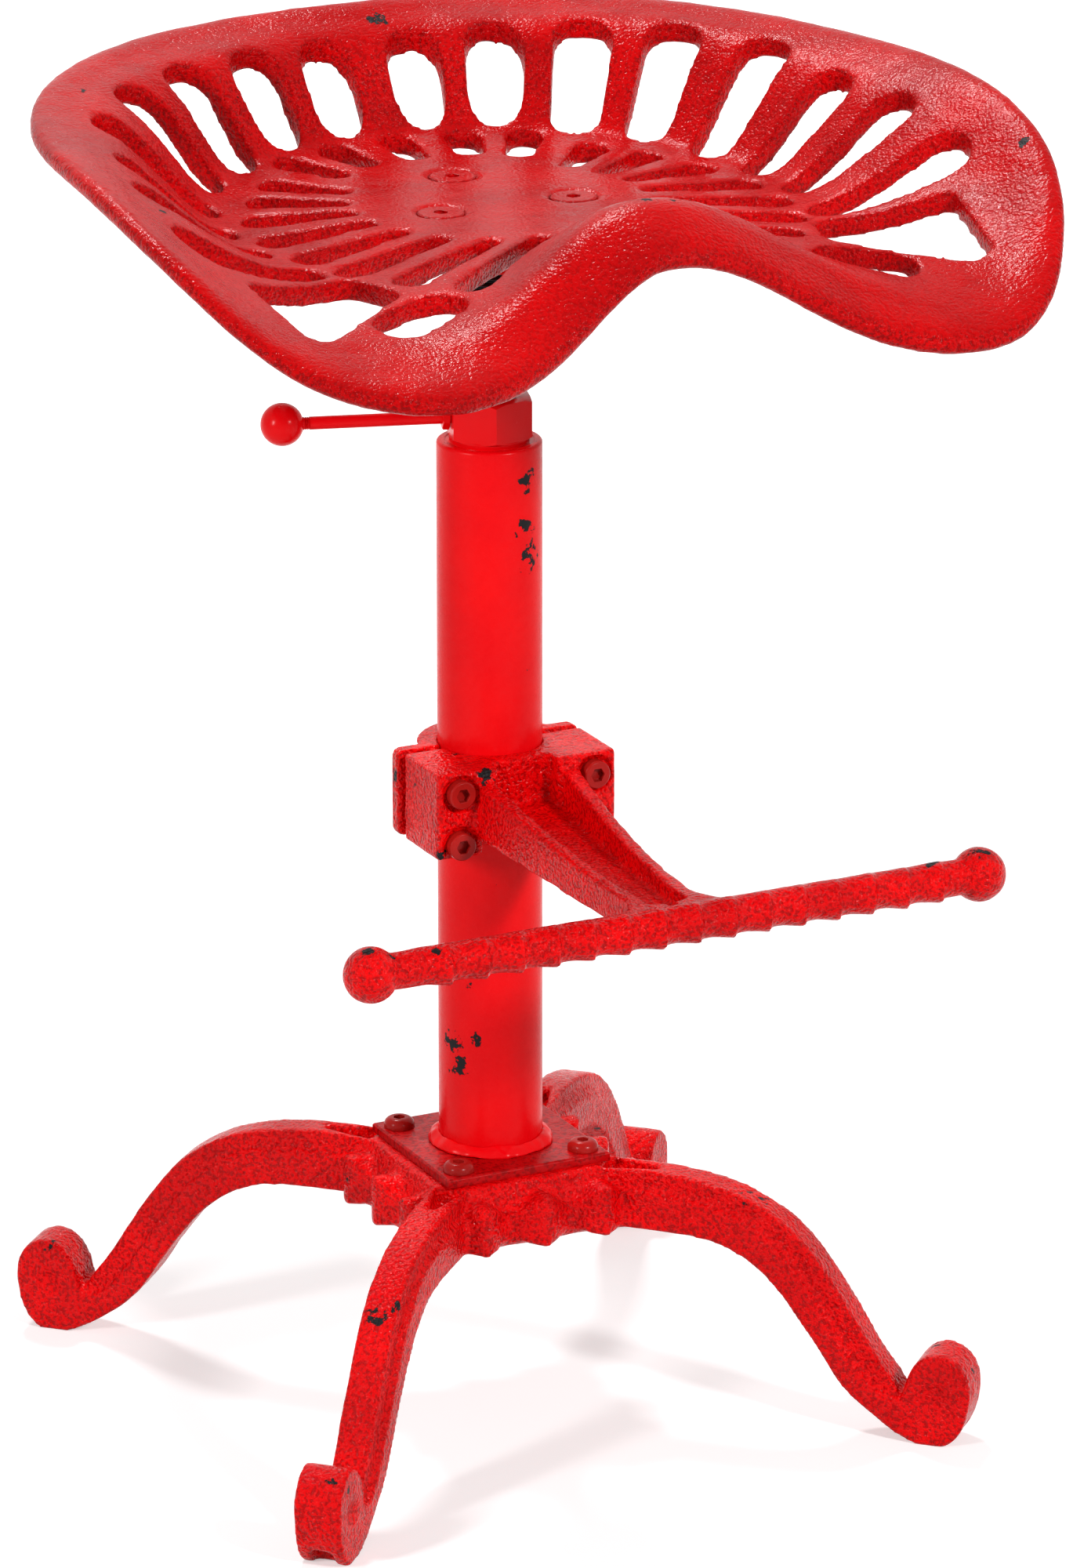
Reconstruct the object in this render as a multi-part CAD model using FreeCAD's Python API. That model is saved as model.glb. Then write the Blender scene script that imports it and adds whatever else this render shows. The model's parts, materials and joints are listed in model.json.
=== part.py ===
import FreeCAD, Part
import math
import os

os.makedirs("parts", exist_ok=True)

V = FreeCAD.Vector
UP = V(0, 0, 1)

# The floor is Z = 0. Everything is modelled with the column on the Z axis and moved back by
# COLUMN_Y when it is saved, so that the origin lies under the middle of the whole stool.
# The open front of the seat and the footrest face -Y.
COLUMN_Y = 24.2

# Clearances
RUN_GAP = 0.05          # radial gap of a shaft that turns or slides in a hole
SEAT_GAP = 0.3          # gap between curved faces of two bodies
BOLT_GAP = 0.4          # radial gap round a screw shank

# Base
FOOT_REACH = 236.0      # column axis to the outermost point of a scroll foot
PLATE_SIDE = 83.0
PLATE_THICK = 4.4
PLATE_BOTTOM = 117.0
PLATE_TOP = PLATE_BOTTOM + PLATE_THICK
BASE_SCREW_OFFSET = 32.0
BASE_SCREW_R = 4.0
LEG_TOP_WIDTH = 17.0
LEG_BODY_WIDTH = 22.5
LEG_START = 40.0
HUB_TOP_HALF = 45.0
HUB_SKIRT_HALF = 56.0
HUB_BOTTOM = 88.0
HUB_WALL = 7.0
APRON_HALF = 46.0        # half the width of the scalloped apron between two legs
APRON_FACE = 53.5        # column axis to the hollows of the apron
APRON_BULGE = 7.5
APRON_PITCH = 30.6
APRON_CREST = 112.0
APRON_DIP = 104.0

# Column
TUBE_R = 24.15
TUBE_WALL = 4.0
TUBE_BORE_R = TUBE_R - TUBE_WALL
TUBE_TOP = 459.9
WELD_LEG = 5.0

# Collar nut and lock lever
NUT_AF = 36.0
NUT_GAP = 1.5
NUT_BOTTOM = TUBE_TOP + NUT_GAP
NUT_HEIGHT = 19.0
NUT_TOP = NUT_BOTTOM + NUT_HEIGHT
NUT_FACE_ANGLE = 163.2
LEVER_Z = NUT_BOTTOM + NUT_HEIGHT / 2
LEVER_R = 3.0
KNOB_R = 9.8
KNOB_REACH = 94.5

# Seat screw
SPINDLE_R = 13.0
THREAD_PITCH = 3.0
THREAD_DEPTH = 1.4
SPINDLE_BOTTOM = 322.0
GUIDE_HEIGHT = 16.0

# Seat
PAN_THICK = 10.0
PAD_TOP = 574.0
PAD_MID = PAD_TOP - PAN_THICK / 2
PAD_BOTTOM = PAD_TOP - PAN_THICK
PAD_R = 44.0
SEAM_ANGLE = -176.3
SLOT_ROUNDING = 0.47     # corner radius of a slot as a share of its width
FLANGE_R = 52.0
FLANGE_THICK = 6.0
FLANGE_TOP = PAD_BOTTOM - SEAT_GAP
FLANGE_BOTTOM = FLANGE_TOP - FLANGE_THICK
HUB_NUT_AF = 40.0
HUB_NUT_HEIGHT = 16.0
HUB_NUT_BOTTOM = FLANGE_BOTTOM - HUB_NUT_HEIGHT
SEAT_BOLT_CIRCLE_R = 38.0
SEAT_BOLT_HEAD_R = 10.5
SEAT_BOLT_HEAD_THICK = 4.0
SEAT_BOLT_R = 5.0

# Footrest
CLAMP_HALF_WIDTH = 45.0
CLAMP_FRONT = 40.0
CLAMP_TOP = 317.0
CLAMP_BOTTOM = 276.0
CLAMP_SCREW_X = 34.0
CLAMP_SCREW_Z = (307.0, 282.5)
CLAMP_SCREW_R = 4.0
STRAP_THICK = 7.0
STRAP_HALF_WIDTH = 46.0
STRAP_FRONT = 1.0
BLOCK_BACK = -3.0
BAR_Y = -191.6
BAR_Z = 288.0
BAR_R = 8.2
BAR_HALF = 149.8
BALL_R = 12.5
BAR_TWISTS = 15
FLARE_HALF = 25.0
# Arm sections as (share of the run, distance from the middle, underside, top, half width).
ARM_STATIONS = [(0.0, 22.0, 286.0, 312.0, 5.4), (0.2, 19.4, 283.5, 305.5, 4.6), (0.45, 16.4, 281.8, 299.5, 4.3),
                (0.7, 14.2, 280.8, 295.8, 4.3), (1.0, 12.6, 280.5, 294.2, 4.4)]


def save(shape, name):
    if not shape.isValid():
        shape.fix(0.01, 0.01, 0.01)
    shape = shape.copy()
    shape.translate(V(0, COLUMN_Y, 0))
    shape.exportStep("parts/" + name + ".step")


def fused(shapes):
    return shapes[0].multiFuse(shapes[1:]).removeSplitter()


def polygon_face(points):
    return Part.Face(Part.makePolygon(points + [points[0]]))


def hexagon_prism(across_flats, height, centre, axis, turn=0.0):
    """Hexagonal prism along axis; turn rotates its corners about that axis."""
    corner = across_flats / math.sqrt(3)
    points = []
    for i in range(6):
        a = math.radians(60 * i + turn)
        points.append(V(corner * math.cos(a), corner * math.sin(a), 0))
    prism = polygon_face(points).extrude(V(0, 0, height))
    prism.Placement = FreeCAD.Placement(centre, FreeCAD.Rotation(UP, axis))
    return prism


def chamfered_nut(across_flats, height, centre, axis, turn=0.0, bevel=1.6):
    """Hex nut body whose corners are turned down at both ends."""
    corner = across_flats / math.sqrt(3)
    profile = polygon_face([
        V(0, 0, 0), V(corner - bevel, 0, 0), V(corner + 0.05, 0, bevel * 0.6),
        V(corner + 0.05, 0, height - bevel * 0.6), V(corner - bevel, 0, height), V(0, 0, height)])
    round_body = profile.revolve(V(0, 0, 0), UP, 360)
    nut = hexagon_prism(across_flats, height, V(0, 0, 0), UP, turn).common(round_body)
    nut.Placement = FreeCAD.Placement(centre, FreeCAD.Rotation(UP, axis))
    return nut


def socket_screw(head_r, head_h, shank_r, length, socket_af, seat_point, outward, button=False):
    """Screw with a hex socket. The head stands outward from seat_point, the shank runs inward."""
    if button:
        head = Part.Face(Part.Wire([
            Part.makePolygon([V(0, 0, head_h), V(0, 0, 0), V(head_r, 0, 0), V(head_r, 0, head_h * 0.3)]),
            Part.Arc(V(head_r, 0, head_h * 0.3), V(head_r * 0.86, 0, head_h * 0.78),
                     V(head_r * 0.6, 0, head_h)).toShape(),
            Part.makeLine(V(head_r * 0.6, 0, head_h), V(0, 0, head_h))])).revolve(V(0, 0, 0), UP, 360)
    else:
        head = Part.makeCylinder(head_r, head_h)
        head = head.makeChamfer(0.6, [e for e in head.Edges if e.BoundBox.ZMin > head_h - 0.01])
    shank = Part.makeCylinder(shank_r, length, V(0, 0, -length))
    shank = shank.makeChamfer(0.7, [e for e in shank.Edges if e.BoundBox.ZMax < -length + 0.01])
    screw = fused([head, shank])
    screw = screw.cut(hexagon_prism(socket_af, head_h, V(0, 0, head_h * 0.4), UP))
    screw.Placement = FreeCAD.Placement(seat_point, FreeCAD.Rotation(UP, outward))
    return screw


def pchip(xs, ys, x):
    """Smooth interpolation through the given stations without overshoot."""
    n = len(xs)
    if x <= xs[0]:
        return ys[0]
    if x >= xs[-1]:
        return ys[-1]
    slopes = [(ys[i + 1] - ys[i]) / (xs[i + 1] - xs[i]) for i in range(n - 1)]
    tangents = [0.0]
    for i in range(1, n - 1):
        a = slopes[i - 1]
        b = slopes[i]
        tangents.append(0.0 if a * b <= 0 else 2 * a * b / (a + b))
    tangents.append(slopes[-1])
    tangents[0] = slopes[0] if xs[0] > 0 else 0.0
    k = max(i for i in range(n - 1) if xs[i] <= x)
    h = xs[k + 1] - xs[k]
    t = (x - xs[k]) / h
    return (ys[k] * (1 + 2 * t) * (1 - t) ** 2 + tangents[k] * h * t * (1 - t) ** 2
            + ys[k + 1] * t * t * (3 - 2 * t) + tangents[k + 1] * h * t * t * (t - 1))


# Base casting: a hollow hub with four scroll-footed legs.

# Side view of a leg as (distance from the column axis, height).
LEG_TOP_LINE = [(82, 117.0), (108, 114.5), (128, 109), (143, 101), (156, 90), (168, 75),
                (179, 58), (189, 42), (198, 30)]
LEG_UNDER_LINE = [(210, 0), (201, 4), (191, 10.5), (180, 19), (171, 29), (161, 44), (151, 58),
                  (141, 70), (130, 79), (117, 85.5), (100, 88.5), (82, 89)]
LEG_SCROLL_LINE = [(204.5, 25), (208, 36), (215, 43.5), (223, 45), (231, 41), (FOOT_REACH, 30),
                   (FOOT_REACH - 0.6, 18), (231.5, 7), (225, 0)]
LEG_GROOVE_LINE = [(82, 107.5), (105, 105.5), (122, 101.5), (135, 94), (147, 83.5), (157, 71),
                   (167, 56), (178, 39.5), (188, 27), (197, 20)]


def in_side_plane(points):
    return [V(r, 0, z) for r, z in points]


def curve(points):
    spline = Part.BSplineCurve()
    spline.interpolate(points)
    return spline.toShape()


def leg_slab(top_line, start_top, width):
    """Leg side outline given thickness."""
    top = in_side_plane(top_line)
    scroll = in_side_plane(LEG_SCROLL_LINE)
    under = in_side_plane(LEG_UNDER_LINE)
    notch = V(203.5, 0, 21.0)
    start_low = V(LEG_START, 0, 89)
    start_high = V(LEG_START, 0, start_top)
    wire = Part.Wire([
        Part.makeLine(start_high, top[0]), curve(top), Part.makeLine(top[-1], notch),
        Part.makeLine(notch, scroll[0]), curve(scroll), Part.makeLine(scroll[-1], under[0]),
        curve(under), Part.makeLine(under[-1], start_low), Part.makeLine(start_low, start_high)])
    slab = Part.Face(wire).extrude(V(0, width, 0))
    slab.translate(V(0, -width / 2, 0))
    return slab


def make_leg():
    blade = leg_slab(LEG_TOP_LINE, 117.0, LEG_TOP_WIDTH)
    body = leg_slab(LEG_GROOVE_LINE, 107.5, LEG_BODY_WIDTH)
    leg = blade.fuse(body)
    # narrow mouth left open at the underside of the scroll foot
    mouth = Part.makeLoft([
        Part.makePolygon([V(222, -5, -1), V(222, 5, -1), V(222, 4, 7), V(222, -4, 7), V(222, -5, -1)]),
        Part.makePolygon([V(240, -8.5, -1), V(240, 8.5, -1), V(240, 6.5, 10.5), V(240, -6.5, 10.5),
                          V(240, -8.5, -1)])], True)
    leg = leg.cut(mouth)
    # two flutes up the outer face of the scroll
    for side in (-1, 1):
        flute = Part.makeCylinder(1.6, 60, V(FOOT_REACH + 0.9, side * 5.2, 10), UP)
        leg = leg.cut(flute)
    # shallow comma dimple on each cheek of the scroll
    for side in (-1, 1):
        dimple = Part.makeSphere(14, V(219, side * (LEG_BODY_WIDTH / 2 + 12.2), 24))
        leg = leg.cut(dimple)
    return leg


def apron_wave(x):
    """1 at the middle of a bulge of the apron, 0 half way between two bulges."""
    return 0.5 + 0.5 * math.cos(2 * math.pi * x / APRON_PITCH)


def make_apron():
    """Scalloped wall between two legs, on the -Y side of the hub."""
    steps = [-APRON_HALF + 2 * APRON_HALF * k / 24 for k in range(25)]
    front = curve([V(x, -APRON_FACE - APRON_BULGE * apron_wave(x), 0) for x in steps])
    ends = [v.Point for v in (front.Vertexes[0], front.Vertexes[-1])]
    back = -HUB_TOP_HALF + 3
    plan = Part.Face(Part.Wire([front, Part.makePolygon(
        [ends[1], V(ends[1].x, back, 0), V(ends[0].x, back, 0), ends[0]])]))
    plan = plan.extrude(V(0, 0, 60))
    plan.translate(V(0, 0, HUB_BOTTOM - 20))
    crest = curve([V(x, 0, APRON_DIP + (APRON_CREST - APRON_DIP) * apron_wave(x)) for x in steps])
    hem = curve([V(x, 0, HUB_BOTTOM + 3 * (1 - apron_wave(x))) for x in steps])
    side = Part.Face(Part.Wire([
        crest, Part.makeLine(crest.Vertexes[-1].Point, hem.Vertexes[-1].Point), hem,
        Part.makeLine(hem.Vertexes[0].Point, crest.Vertexes[0].Point)]))
    side = side.extrude(V(0, -100, 0))
    return plan.common(side)


def square_ring(half, z, corner):
    points = []
    for sx, sy in ((1, 1), (-1, 1), (-1, -1), (1, -1)):
        first = V(sx * half, sy * (half - corner), z)
        second = V(sx * (half - corner), sy * half, z)
        points += [first, second] if sx * sy > 0 else [second, first]
    return Part.makePolygon(points + [points[0]])


def make_base():
    core = Part.makeLoft([
        square_ring(HUB_SKIRT_HALF - 4, HUB_BOTTOM, 10), square_ring(HUB_SKIRT_HALF - 4, 102, 10),
        square_ring(HUB_TOP_HALF, PLATE_BOTTOM, 6)], True, True)
    pieces = [core]
    for quarter in range(4):
        apron = make_apron()
        apron.rotate(V(0, 0, 0), UP, 90 * quarter)
        pieces.append(apron)
    leg = make_leg()
    for quarter in range(4):
        turned = leg.copy()
        turned.rotate(V(0, 0, 0), UP, 45 + 90 * quarter)
        pieces.append(turned)
    body = pieces[0].multiFuse(pieces[1:])
    # hollow underneath the hub
    pocket_half = HUB_SKIRT_HALF - HUB_WALL - 8
    pocket = Part.makeBox(2 * pocket_half, 2 * pocket_half, 24, V(-pocket_half, -pocket_half, HUB_BOTTOM - 5))
    body = body.cut(pocket)
    # a small triangular pocket in each leg top, just outside the plate's corner
    corner = PLATE_SIDE / 2 * math.sqrt(2)
    for quarter in range(4):
        nick = polygon_face([V(corner - 2, -7.5, 110), V(corner + 24, -1.2, 110),
                             V(corner + 24, 1.2, 110), V(corner - 2, 7.5, 110)]).extrude(V(0, 0, 20))
        nick.rotate(V(0, 0, 0), UP, 45 + 90 * quarter)
        body = body.cut(nick)
    for sx in (-1, 1):
        for sy in (-1, 1):
            body = body.cut(Part.makeCylinder(
                BASE_SCREW_R + BOLT_GAP, 60, V(sx * BASE_SCREW_OFFSET, sy * BASE_SCREW_OFFSET, 75)))
    body = body.cut(Part.makeCylinder(TUBE_BORE_R - 2, 60, V(0, 0, 75)))
    # the feet are ground flat where they stand
    body = body.cut(Part.makeBox(600, 600, 20, V(-300, -300, -20)))
    return body


base = make_base()
save(base, "base_casting")

plate = Part.makeBox(PLATE_SIDE, PLATE_SIDE, PLATE_THICK, V(-PLATE_SIDE / 2, -PLATE_SIDE / 2, PLATE_BOTTOM))
plate = plate.makeChamfer(0.8, [e for e in plate.Edges if e.BoundBox.ZMin > PLATE_TOP - 0.01])
base_screws = []
base_washers = []
base_nuts = []
CEILING = HUB_BOTTOM + 19
for sx in (-1, 1):
    for sy in (-1, 1):
        x = sx * BASE_SCREW_OFFSET
        y = sy * BASE_SCREW_OFFSET
        plate = plate.cut(Part.makeCylinder(BASE_SCREW_R + BOLT_GAP, 10, V(x, y, PLATE_BOTTOM - 2)))
        base_screws.append(socket_screw(7.2, 4.6, BASE_SCREW_R, 26, 5.0, V(x, y, PLATE_TOP), UP, True))
        washer = Part.makeCylinder(8.0, 1.6, V(x, y, CEILING - 1.6))
        washer = washer.cut(Part.makeCylinder(BASE_SCREW_R + BOLT_GAP, 4, V(x, y, CEILING - 3)))
        base_washers.append(washer)
        nut = chamfered_nut(13, 6.5, V(x, y, CEILING - 1.6 - 6.5), UP, 15, 0.9)
        base_nuts.append(nut.cut(Part.makeCylinder(BASE_SCREW_R, 12, V(x, y, CEILING - 12))))
plate = plate.cut(Part.makeCylinder(TUBE_BORE_R - 2, 20, V(0, 0, PLATE_BOTTOM - 5)))
save(plate, "base_plate")
save(Part.makeCompound(base_screws), "base_screws")
save(Part.makeCompound(base_washers), "base_washers")
save(Part.makeCompound(base_nuts), "base_nuts")

# Column tube, welded to the base plate.

tube = Part.makeCylinder(TUBE_R, TUBE_TOP - PLATE_TOP, V(0, 0, PLATE_TOP))
tube = tube.makeFillet(1.6, [e for e in tube.Edges if e.BoundBox.ZMin > TUBE_TOP - 0.01])
tube = tube.cut(Part.makeCylinder(TUBE_BORE_R, TUBE_TOP, V(0, 0, PLATE_TOP - 1)))
save(tube, "column_tube")

# Fillet weld round the foot of the tube.
weld_toe = V(TUBE_R + WELD_LEG, 0, PLATE_TOP)
weld_top = V(TUBE_R, 0, PLATE_TOP + WELD_LEG)
weld_belly = V(TUBE_R + WELD_LEG * 0.62, 0, PLATE_TOP + WELD_LEG * 0.62)
weld_root = V(TUBE_R, 0, PLATE_TOP)
weld = Part.Face(Part.Wire([
    Part.makeLine(weld_root, weld_toe), Part.Arc(weld_toe, weld_belly, weld_top).toShape(),
    Part.makeLine(weld_top, weld_root)])).revolve(V(0, 0, 0), UP, 360)
save(weld, "column_weld")

# Collar nut in the top of the tube, and the lever that locks the screw.

face_dir = V(math.cos(math.radians(NUT_FACE_ANGLE)), math.sin(math.radians(NUT_FACE_ANGLE)), 0)
collar = chamfered_nut(NUT_AF, NUT_HEIGHT, V(0, 0, NUT_BOTTOM), UP, NUT_FACE_ANGLE - 30, 2.2)
neck = Part.makeCylinder(TUBE_BORE_R - 1.8, NUT_GAP + 1, V(0, 0, TUBE_TOP - 0.5))
spigot = Part.makeCylinder(TUBE_BORE_R, 14, V(0, 0, TUBE_TOP - 14.5))
collar = fused([collar, neck, spigot])
collar = collar.cut(Part.makeCylinder(SPINDLE_R + RUN_GAP, 60, V(0, 0, TUBE_TOP - 30)))
collar = collar.cut(Part.makeCylinder(
    LEVER_R + RUN_GAP, 20, face_dir * (SPINDLE_R - 1) + V(0, 0, LEVER_Z), face_dir))
save(collar, "collar_nut")

NUT_FACE = NUT_AF / 2
LEVER_TIP = SPINDLE_R + SEAT_GAP + 0.2
LEVER_END = KNOB_REACH - KNOB_R * 0.4
# the last threads before the ball stay in sight, as three narrow grooves
rod_profile = [V(0, 0, LEVER_TIP), V(LEVER_R, 0, LEVER_TIP)]
for i in range(3):
    z = KNOB_REACH - KNOB_R - 2.6 + 0.9 * i
    rod_profile += [V(LEVER_R, 0, z), V(LEVER_R - 0.45, 0, z + 0.35), V(LEVER_R, 0, z + 0.7)]
rod_profile += [V(LEVER_R, 0, LEVER_END), V(0, 0, LEVER_END)]
rod = polygon_face(rod_profile).revolve(V(0, 0, 0), UP, 360)
rod.Placement = FreeCAD.Placement(V(0, 0, LEVER_Z), FreeCAD.Rotation(UP, face_dir))
save(rod, "lever_rod")

JAM_START = NUT_FACE + 0.4
jam = chamfered_nut(10, 3.4, face_dir * JAM_START + V(0, 0, LEVER_Z), face_dir, 0, 0.7)
jam = jam.cut(Part.makeCylinder(LEVER_R, 12, face_dir * (JAM_START - 3) + V(0, 0, LEVER_Z), face_dir))
save(jam, "lever_jam_nut")

knob_centre = face_dir * KNOB_REACH + V(0, 0, LEVER_Z)
KNOB_BORE_R = LEVER_R + 0.1
bore_mouth = -math.sqrt(KNOB_R ** 2 - KNOB_BORE_R ** 2)
bore_end = LEVER_END - KNOB_REACH + 0.2
knob = Part.Face(Part.Wire([
    Part.Arc(V(KNOB_BORE_R, 0, bore_mouth), V(KNOB_R, 0, 0), V(0, 0, KNOB_R)).toShape(),
    Part.makeLine(V(0, 0, KNOB_R), V(0, 0, bore_end)),
    Part.makeLine(V(0, 0, bore_end), V(KNOB_BORE_R, 0, bore_end)),
    Part.makeLine(V(KNOB_BORE_R, 0, bore_end), V(KNOB_BORE_R, 0, bore_mouth))])).revolve(V(0, 0, 0), UP, 360)
knob.Placement = FreeCAD.Placement(knob_centre, FreeCAD.Rotation(UP, face_dir))
save(knob, "lever_knob")

# Seat screw, with thread rings at the real pitch where it is exposed.

SPINDLE_TOP = FLANGE_BOTTOM + 3.0
THREAD_LOW = NUT_TOP - 6.0
profile = [V(0, 0, SPINDLE_BOTTOM), V(SPINDLE_R - 1, 0, SPINDLE_BOTTOM), V(SPINDLE_R, 0, SPINDLE_BOTTOM + 1)]
turns = int((HUB_NUT_BOTTOM - THREAD_LOW) / THREAD_PITCH)
for i in range(turns):
    z = THREAD_LOW + i * THREAD_PITCH
    profile.append(V(SPINDLE_R, 0, z))
    profile.append(V(SPINDLE_R - THREAD_DEPTH, 0, z + THREAD_PITCH * 0.5))
    profile.append(V(SPINDLE_R, 0, z + THREAD_PITCH * 0.9))
profile += [V(SPINDLE_R, 0, SPINDLE_TOP), V(0, 0, SPINDLE_TOP)]
spindle = polygon_face(profile).revolve(V(0, 0, 0), UP, 360)
spindle = spindle.cut(Part.makeCylinder(4.0, 24, V(0, 0, SPINDLE_BOTTOM - 1)))
save(spindle, "spindle")

# Sliding guide under the screw, kept on by a washer and a screw: the spindle turns on it.
GUIDE_TOP = SPINDLE_BOTTOM - 0.4
guide = Part.makeCylinder(TUBE_BORE_R - RUN_GAP, GUIDE_HEIGHT, V(0, 0, GUIDE_TOP - GUIDE_HEIGHT))
guide = guide.makeChamfer(1.5, [e for e in guide.Edges if e.BoundBox.ZLength < 0.01])
guide = guide.cut(Part.makeCylinder(6.0 + RUN_GAP, 40, V(0, 0, GUIDE_TOP - 30)))
save(guide, "spindle_guide")

bush = Part.makeCylinder(6.0, GUIDE_HEIGHT + 0.8, V(0, 0, GUIDE_TOP - GUIDE_HEIGHT - 0.4))
bush = bush.cut(Part.makeCylinder(4.0 + 0.1, 40, V(0, 0, GUIDE_TOP - 30)))
save(bush, "guide_bush")
washer_z = GUIDE_TOP - GUIDE_HEIGHT - 0.4 - 2.5
washer = Part.makeCylinder(12.0, 2.5, V(0, 0, washer_z))
washer = washer.cut(Part.makeCylinder(4.0 + 0.1, 10, V(0, 0, washer_z - 3)))
save(washer, "guide_washer")
save(socket_screw(6.5, 8.0, 4.0, 40.0, 6.0, V(0, 0, washer_z), V(0, 0, -1)), "guide_screw")

# Seat pan.

# Stations of the pan's middle surface, by angle from the back centre. Each holds the end of the
# flat floor, the top of the rise and the middle of the rim, as (radius, height) pairs.
PAN_STATIONS = [
    (0, (104, 573), (137, 613), (160, 623)),
    (20, (108, 572), (141, 614), (172, 621)),
    (40, (111, 571), (152, 614), (186, 619)),
    (60, (117, 569), (167, 613), (195, 617)),
    (80, (123, 567), (180, 610), (204, 615)),
    (100, (129, 566), (193, 605), (218, 614)),
    (115, (134, 566), (205, 592), (237, 605)),
    (130, (145, 566), (215, 570), (258, 579)),
    (145, (150, 568), (205, 560), (262, 546)),
    (160, (110, 571), (175, 580), (217, 553)),
    (172, (88, 571), (163, 599), (190, 583)),
    (180, (84, 571), (160, 604), (186, 591)),
]


RADIAL_STEPS = 10


def pan_station(angle):
    """Radii and heights of the middle surface along one ray from the pad to the rim."""
    angles = [s[0] for s in PAN_STATIONS]
    radii = [0.0, 62.0]
    heights = [PAD_MID, PAD_MID]
    for k in (1, 2, 3):
        radii.append(pchip(angles, [s[k][0] for s in PAN_STATIONS], angle))
        heights.append(pchip(angles, [s[k][1] for s in PAN_STATIONS], angle))
    return radii, heights


def pan_contour(angle):
    """Closed side of the pan on one ray: along the top, round the rim and back underneath."""
    radii, heights = pan_station(abs(angle))
    half = PAN_THICK / 2
    steps = [PAD_R, 56.0]
    for k in range(1, RADIAL_STEPS + 1):
        steps.append(56.0 + (radii[-1] - 56.0) * k / RADIAL_STEPS)
    top = []
    low = []
    for r in steps:
        z = pchip(radii, heights, r)
        ahead = pchip(radii, heights, min(r + 0.4, radii[-1]))
        behind = pchip(radii, heights, r - 0.4)
        slope = (ahead - behind) / (min(r + 0.4, radii[-1]) - r + 0.4)
        length = math.hypot(1, slope)
        top.append((r - half * slope / length, z + half / length))
        low.append((r + half * slope / length, z - half / length))
    end = math.atan2(slope, 1)
    cap = []
    for k in range(1, 4):
        a = end + math.pi / 2 - math.pi * k / 4
        cap.append((radii[-1] + half * math.cos(a), heights[-1] + half * math.sin(a)))
    a = math.radians(angle)
    return [V(r * math.sin(a), r * math.cos(a), z) for r, z in top + cap + low[::-1]]


def wrapped(angle):
    return (angle + 180.0) % 360.0 - 180.0


def rounded_outline(corners, radii):
    """Planar wire through corners with each corner rounded by its own radius."""
    n = len(corners)
    starts = []
    ends = []
    arcs = []
    for i in range(n):
        here = corners[i]
        to_last = (corners[i - 1] - here).normalize()
        to_next = (corners[(i + 1) % n] - here).normalize()
        half_angle = to_last.getAngle(to_next) / 2
        back = radii[i] / math.tan(half_angle)
        first = here + to_last * back
        last = here + to_next * back
        middle = (to_last + to_next).normalize()
        mid = here + middle * (radii[i] / math.sin(half_angle) - radii[i])
        arcs.append(Part.Arc(first, mid, last).toShape())
        starts.append(first)
        ends.append(last)
    edges = []
    for i in range(n):
        edges.append(arcs[i])
        nxt = starts[(i + 1) % n]
        if (nxt - ends[i]).Length > 0.01:
            edges.append(Part.makeLine(ends[i], nxt))
    return Part.Wire(edges)


def slot_cutter(inner, outer, inner_width, outer_width, side):
    """Upright cutter for a slot that widens from its inner end to its outer end."""
    a = V(side * inner[0], inner[1], 480)
    b = V(side * outer[0], outer[1], 480)
    along = b - a
    length = along.Length
    along.normalize()
    across = V(-along.y, along.x, 0)
    corners = [a - across * (inner_width / 2), b - across * (outer_width / 2),
               b + across * (outer_width / 2), a + across * (inner_width / 2)]
    taper = math.atan((outer_width - inner_width) / (2 * length))
    r_in = SLOT_ROUNDING * inner_width * math.tan(math.pi / 4 + taper / 2)
    r_out = SLOT_ROUNDING * outer_width * math.tan(math.pi / 4 - taper / 2)
    wire = rounded_outline(corners, [r_in, r_out, r_out, r_in])
    return Part.Face(wire).extrude(V(0, 0, 200))


# Slots of one half of the pan, as (inner end, outer end, width at each end) seen from above.
OUTER_SLOTS = [
    ((19.5, 106.5), (23.5, 135.5), 23, 27),
    ((51.5, 99.5), (65, 128), 24, 29),
    ((81, 79), (106, 114), 22, 29),
    ((105, 58), (143, 88), 20, 28),
    ((121, 27), (172, 48), 19, 26),
    ((127, -7), (181, 0), 17, 26),
    ((127, -43), (191, -44), 17, 26),
    ((120, -81), (193, -94), 19, 30),
]
INNER_SLOTS = [
    ((25, 70), (34, 101), 12, 18),
    ((43, 58), (63, 90), 11, 18),
    ((54, 31), (85, 61), 8, 18),
    ((63, 13), (102, 38.5), 8, 18),
    ((66.5, -3.5), (117, 10), 8, 19),
    ((66, -22), (124, -25), 8, 20),
    ((60, -41), (122, -59.5), 8, 19),
    ((49, -59), (114, -89), 9, 19),
    ((32, -73), (98, -117), 9, 18),
    ((12, -80), (79, -143), 10, 19),
]


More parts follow.
